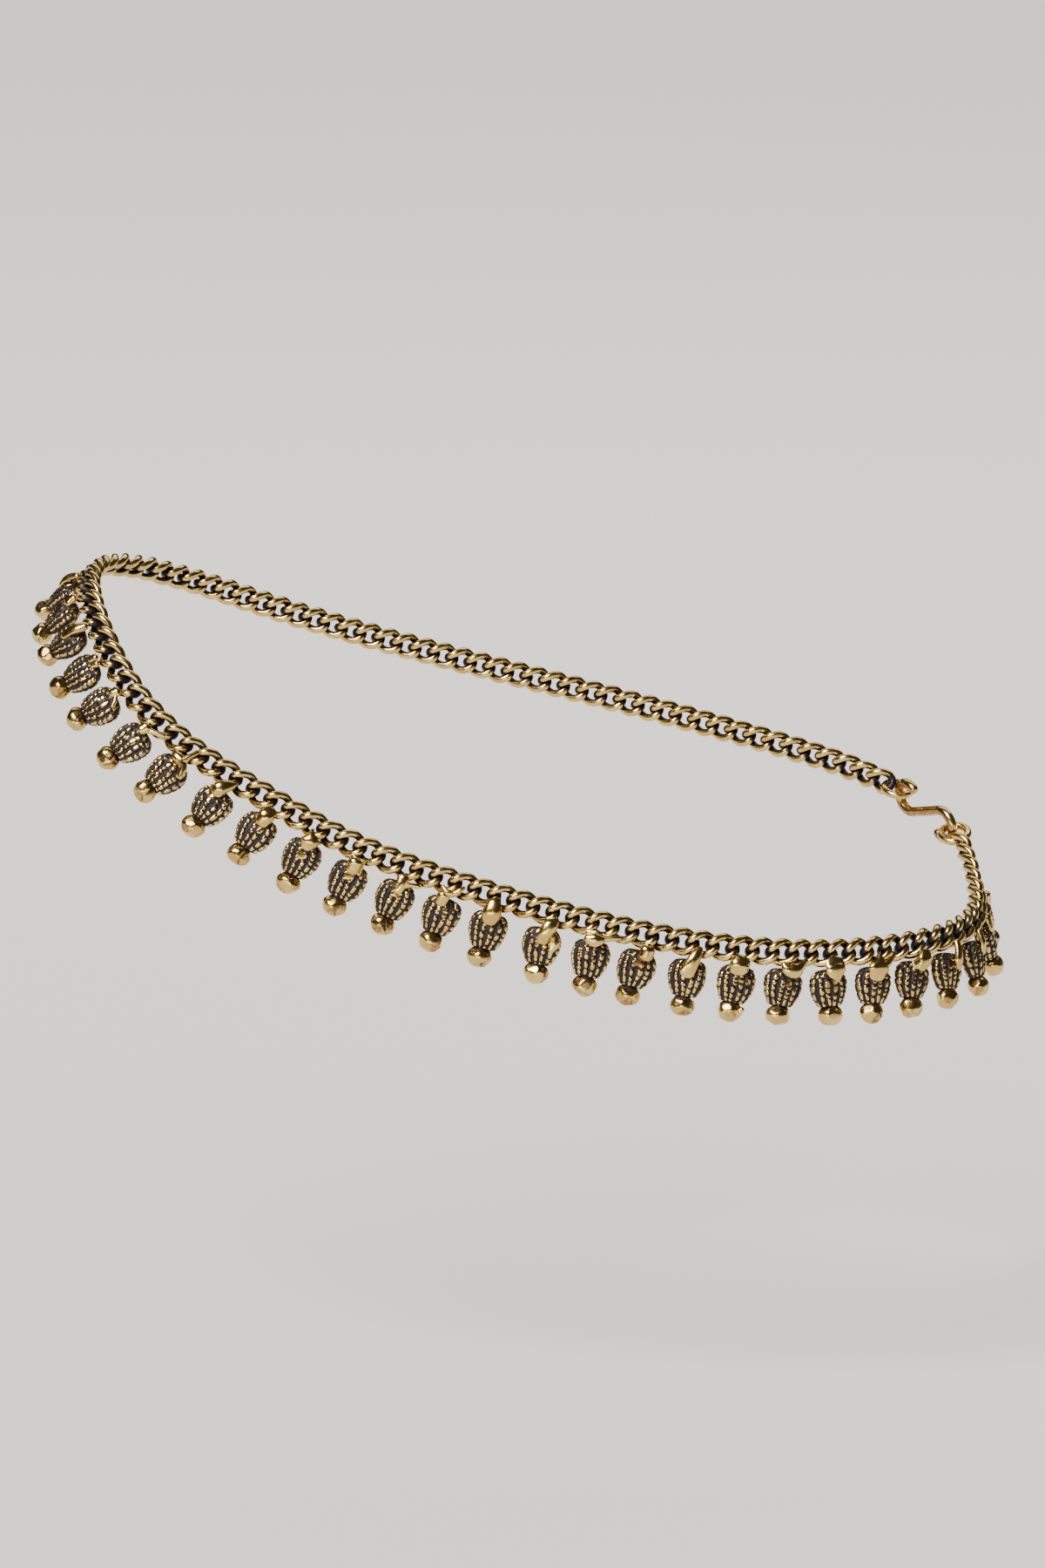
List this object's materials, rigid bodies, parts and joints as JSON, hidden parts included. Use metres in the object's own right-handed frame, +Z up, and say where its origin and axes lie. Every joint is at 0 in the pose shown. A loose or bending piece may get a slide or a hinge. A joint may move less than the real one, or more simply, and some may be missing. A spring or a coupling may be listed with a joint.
{
  "type": "payal anklet",
  "caption": "Antique gold curb chain anklet, held open as worn round an ankle, with a row of small granulated cast drops that end in smooth beads.",
  "frame": {"origin": "middle of the loop, where the ankle passes through it", "axes": "+Z up the leg, +X towards the heel, -Y out of the side that carries the drops"},
  "size_m": [0.1077, 0.0552, 0.0466],
  "materials": {
    "chain_gold": "polished antique gold wire with dark oxide between the links",
    "drop_gold": "cast antique gold, polished on the raised grains and black with oxide in the grooves"
  },
  "bodies": {
    "root": {"curb_chain": "chain_gold", "back_chain": "chain_gold", "clasp": "chain_gold", "drop_01": "drop_gold", "drop_02": "drop_gold", "drop_03": "drop_gold", "drop_04": "drop_gold", "drop_05": "drop_gold", "drop_06": "drop_gold", "drop_07": "drop_gold", "drop_08": "drop_gold", "drop_09": "drop_gold", "drop_10": "drop_gold", "drop_11": "drop_gold", "drop_12": "drop_gold", "drop_13": "drop_gold", "drop_14": "drop_gold", "drop_15": "drop_gold", "drop_16": "drop_gold", "drop_17": "drop_gold", "drop_18": "drop_gold", "drop_19": "drop_gold", "drop_20": "drop_gold", "drop_21": "drop_gold", "drop_22": "drop_gold", "drop_23": "drop_gold", "drop_24": "drop_gold", "drop_25": "drop_gold", "drop_26": "drop_gold", "drop_27": "drop_gold"}
  },
  "joints": []
}
